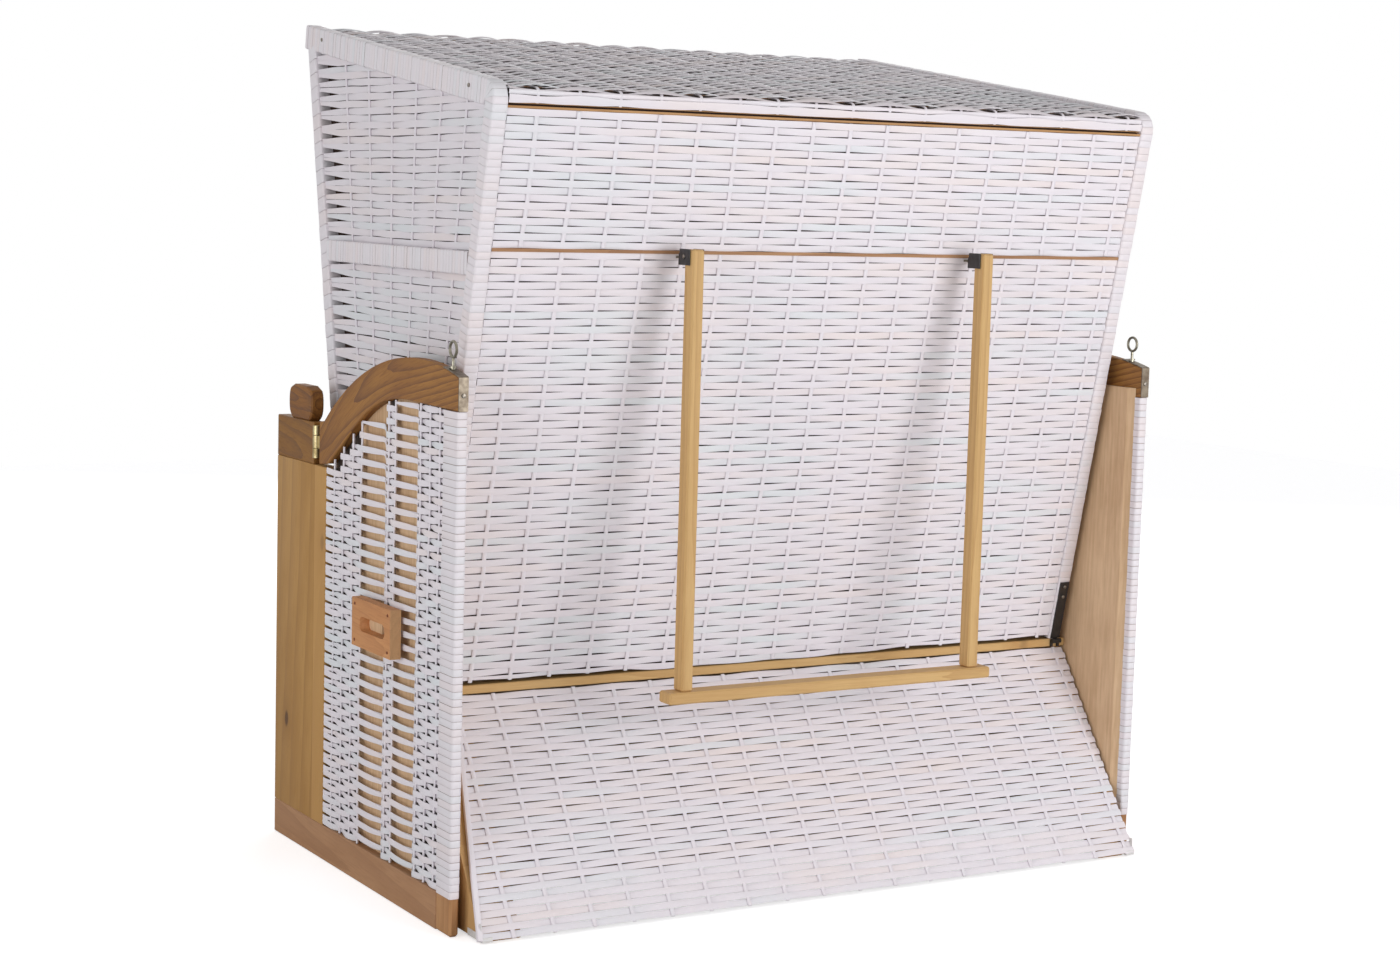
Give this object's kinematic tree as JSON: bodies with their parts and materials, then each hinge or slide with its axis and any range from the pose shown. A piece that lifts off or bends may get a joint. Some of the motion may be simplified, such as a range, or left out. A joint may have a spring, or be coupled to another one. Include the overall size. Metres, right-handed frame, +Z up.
{
  "type": "hooded beach chair",
  "caption": "Wide hooded beach chair of white wicker and oiled wood: two side walls, seat box with pull-out footrests, reclining hood with a hanging prop frame.",
  "frame": {"origin": "on the floor, at the centre of the overall box", "axes": "+Z up; -Y is the way the sitter looks; +X is the sitter's left; the plane x = 0 is the symmetry plane"},
  "size_m": [1.546, 0.9726, 1.6],
  "materials": {
    "white_wicker": "flat strips, satin",
    "oiled_board": "oiled",
    "dark_arm_wood": "oiled, strong grain",
    "grip_wood": "oiled",
    "plain_panel": "sanded",
    "pine": "oiled",
    "brass": "satin",
    "zinc_steel": "zinc plated",
    "grey_steel": "dull",
    "black_steel": "satin",
    "cloth": "woven cotton"
  },
  "bodies": {
    "base": {"plinth_left": "oiled_board", "plinth_right": "oiled_board", "front_board_left": "oiled_board", "front_board_right": "oiled_board", "rear_post_left": "white_wicker", "rear_post_right": "white_wicker", "side_weave_left": "white_wicker", "side_weave_right": "white_wicker", "inner_board_left": "plain_panel", "inner_board_right": "plain_panel", "carry_handle_left": "grip_wood", "carry_handle_right": "grip_wood", "end_block_left": "dark_arm_wood", "end_block_right": "dark_arm_wood", "knob_left": "dark_arm_wood", "knob_right": "dark_arm_wood", "arm_hinge_left": "brass", "arm_hinge_right": "brass", "flap_cheek_left": "oiled_board", "flap_cheek_right": "oiled_board", "pivot_bracket_left": "black_steel", "pivot_bracket_right": "black_steel", "rear_rail": "pine", "rear_flap": "white_wicker", "seat_deck": "plain_panel", "seat_apron": "pine", "floor_board": "plain_panel", "center_divider": "plain_panel", "seat_cushion": "cloth"},
    "hood": {"roof_weave": "white_wicker", "roof_rear_rail": "white_wicker", "back_weave_upper": "white_wicker", "back_weave_lower": "white_wicker", "back_mid_rail": "pine", "hood_lining": "cloth", "back_cushion": "cloth", "hood_side_frame_left": "white_wicker", "hood_side_frame_right": "white_wicker", "hood_side_weave_left": "white_wicker", "hood_side_weave_right": "white_wicker", "hood_strap_left": "black_steel", "hood_strap_right": "black_steel", "prop_bracket_left": "black_steel", "prop_bracket_right": "black_steel"},
    "prop_frame": {"prop_leg_left": "pine", "prop_leg_right": "pine", "prop_crossbar": "pine"},
    "arm_body_left": {"arm_left": "dark_arm_wood", "arm_strap_left": "grey_steel", "arm_hinge_leaf_left": "brass"},
    "eye_bolt_body_left": {"eye_bolt_left": "zinc_steel"},
    "footrest_body_left": {"footrest_box_left": "pine", "footrest_cushion_left": "cloth"},
    "arm_body_right": {"arm_right": "dark_arm_wood", "arm_strap_right": "grey_steel", "arm_hinge_leaf_right": "brass"},
    "eye_bolt_body_right": {"eye_bolt_right": "zinc_steel"},
    "footrest_body_right": {"footrest_box_right": "pine", "footrest_cushion_right": "cloth"}
  },
  "joints": [
    {"name": "hood_recline", "type": "hinge", "parent": "base", "child": "hood", "pos_m": [0, 0.23425, 0.396], "axis": [-1, 0, 0], "range_deg": [0, 45]},
    {"name": "prop_swing", "type": "hinge", "parent": "hood", "child": "prop_frame", "pos_m": [0, 0.44925, 1.17904], "axis": [-1, 0, 0], "range_deg": [-45, 0]},
    {"name": "arm_swing_left", "type": "hinge", "parent": "base", "child": "arm_body_left", "pos_m": [0.75, -0.21395, 0.77], "axis": [0, 0, -1], "range_deg": [0, 90]},
    {"name": "arm_swing_right", "type": "hinge", "parent": "base", "child": "arm_body_right", "pos_m": [-0.75, -0.21395, 0.77], "axis": [0, 0, 1], "range_deg": [0, 90]},
    {"name": "eye_bolt_lift_left", "type": "slide", "parent": "arm_body_left", "child": "eye_bolt_body_left", "axis": [0, 0, 1], "range_m": [0, 0.03]},
    {"name": "eye_bolt_lift_right", "type": "slide", "parent": "arm_body_right", "child": "eye_bolt_body_right", "axis": [0, 0, 1], "range_m": [0, 0.03]},
    {"name": "footrest_slide_left", "type": "slide", "parent": "base", "child": "footrest_body_left", "axis": [0, -1, 0], "range_m": [0, 0.38]},
    {"name": "footrest_slide_right", "type": "slide", "parent": "base", "child": "footrest_body_right", "axis": [0, -1, 0], "range_m": [0, 0.38]}
  ],
  "couplings": [
    {"joint": "prop_swing", "follows": "hood_recline", "ratio": -1}
  ]
}
